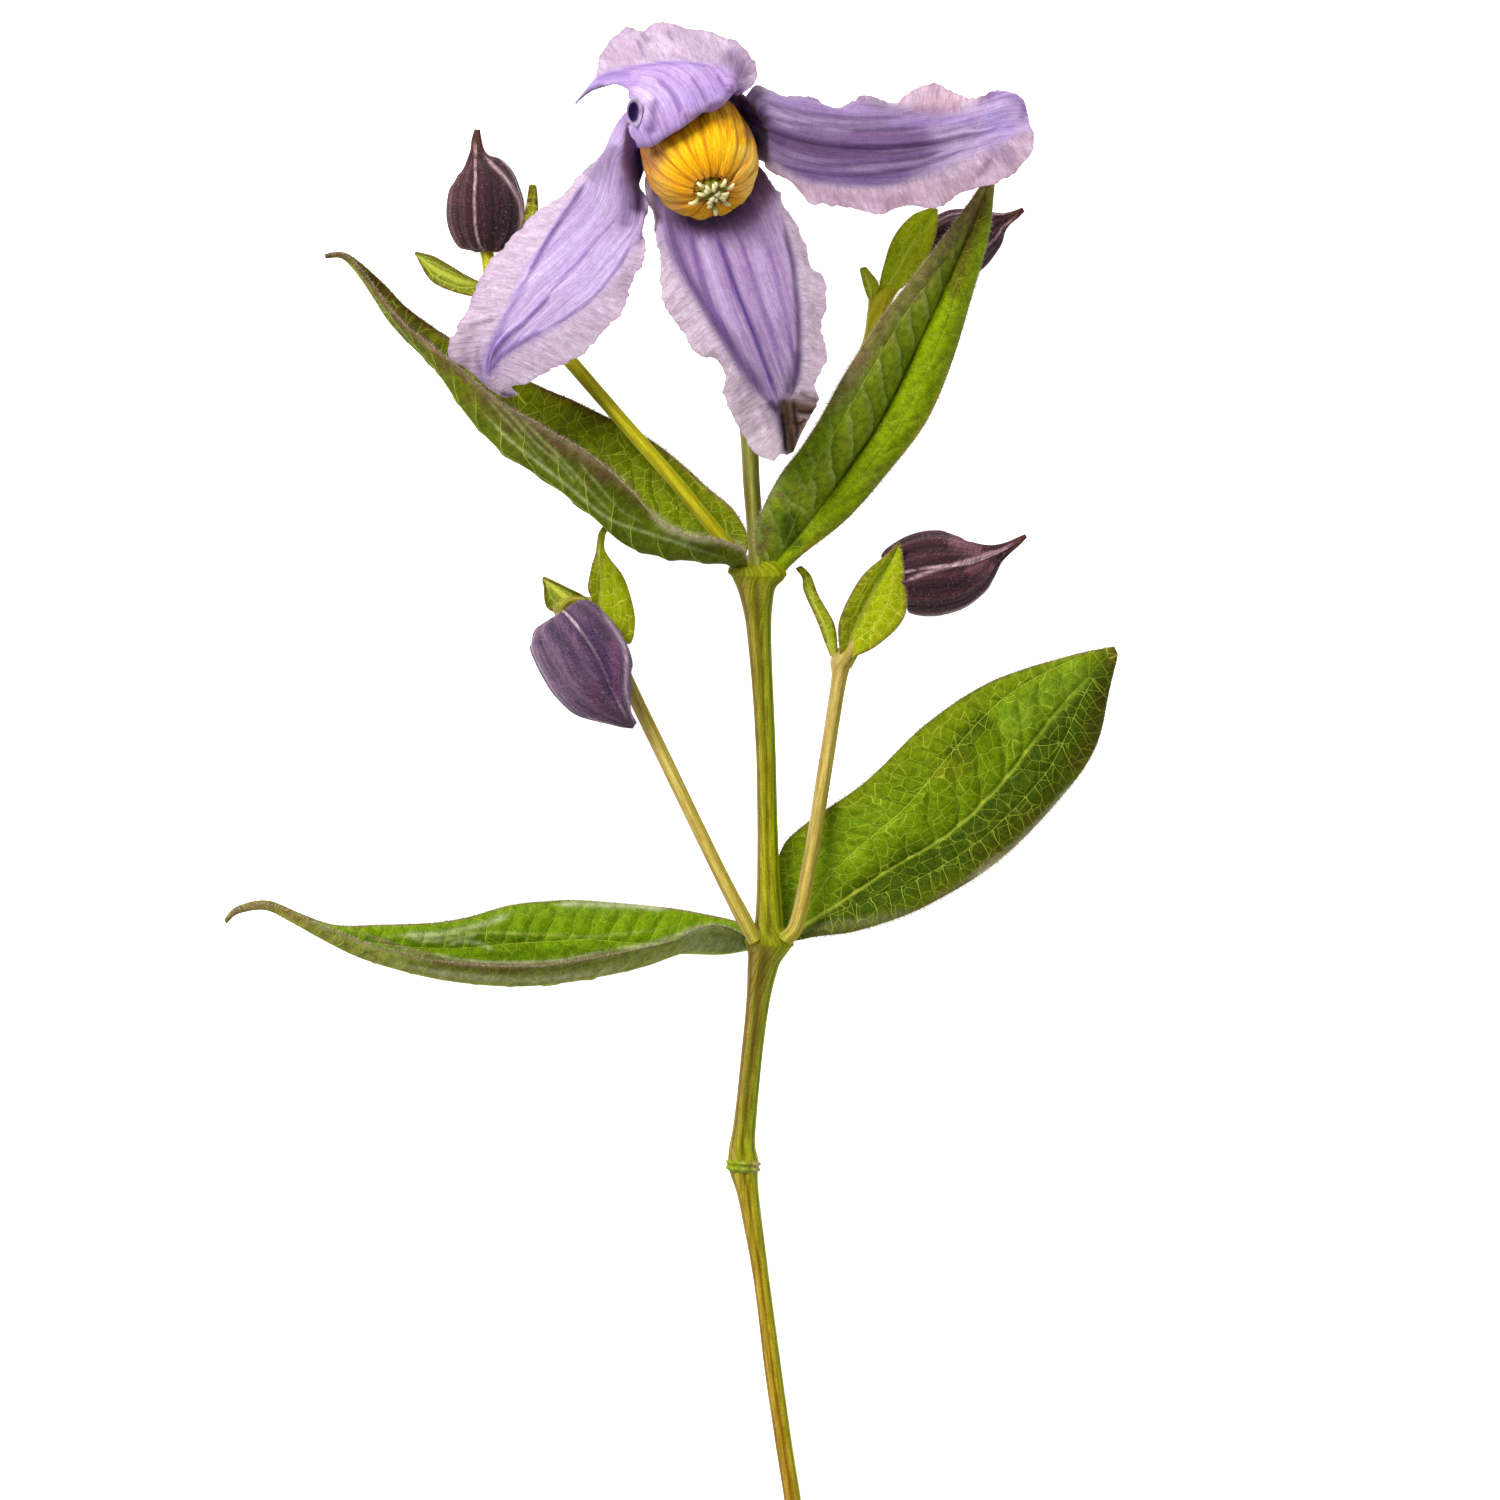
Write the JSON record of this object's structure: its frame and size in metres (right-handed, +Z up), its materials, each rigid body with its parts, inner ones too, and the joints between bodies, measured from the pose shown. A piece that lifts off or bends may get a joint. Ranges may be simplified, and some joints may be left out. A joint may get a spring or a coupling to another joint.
{
  "type": "clematis flower",
  "caption": "Cut sprig of a nodding clematis lying down: an open lavender flower, closed dark buds, opposite leaves and a ribbed stem.",
  "frame": {"origin": "middle of the sprig's footprint, on the surface that it lies on", "axes": "+Y from the cut end towards the open flower, +X to the right of the sprig seen from above, +Z up from the surface"},
  "size_m": [0.1418, 0.2369, 0.0456],
  "materials": {
    "stem": "matt, olive green with darker furrows",
    "stalk": "matt, yellow to tan",
    "leaf": "satin, green with paler veins",
    "bract": "satin, yellow-green",
    "dark_bud": "matt felt, near-black purple with pale seams",
    "violet_bud": "matt felt, violet-grey with pale seams",
    "sepal": "satin, lavender with pale margins",
    "stamens": "matt, golden yellow",
    "pistils": "matt, cream"
  },
  "bodies": {
    "root": {"stem": "stem", "flower_stalk": "stem", "bud_stalk_upper_left": "stalk", "bud_stalk_upper_right": "stalk", "bud_stalk_left": "stalk", "bud_stalk_right": "stalk", "leaf_upper_left": "leaf", "leaf_upper_right": "leaf", "leaf_lower_right": "leaf", "leaf_lower_left": "leaf", "bract_upper_left_outer": "bract", "bract_upper_left_inner": "bract", "bract_upper_right_outer": "bract", "bract_upper_right_inner": "bract", "bract_right_outer": "bract", "bract_right_inner": "bract", "bract_left_upper": "bract", "bract_left_inner": "bract", "bud_upper_left": "dark_bud", "bud_upper_right": "dark_bud", "bud_right": "dark_bud", "bud_left": "violet_bud", "sepal_bottom": "sepal", "sepal_right": "sepal", "sepal_left": "sepal", "sepal_top": "sepal", "stamens": "stamens", "pistils": "pistils"}
  },
  "joints": []
}
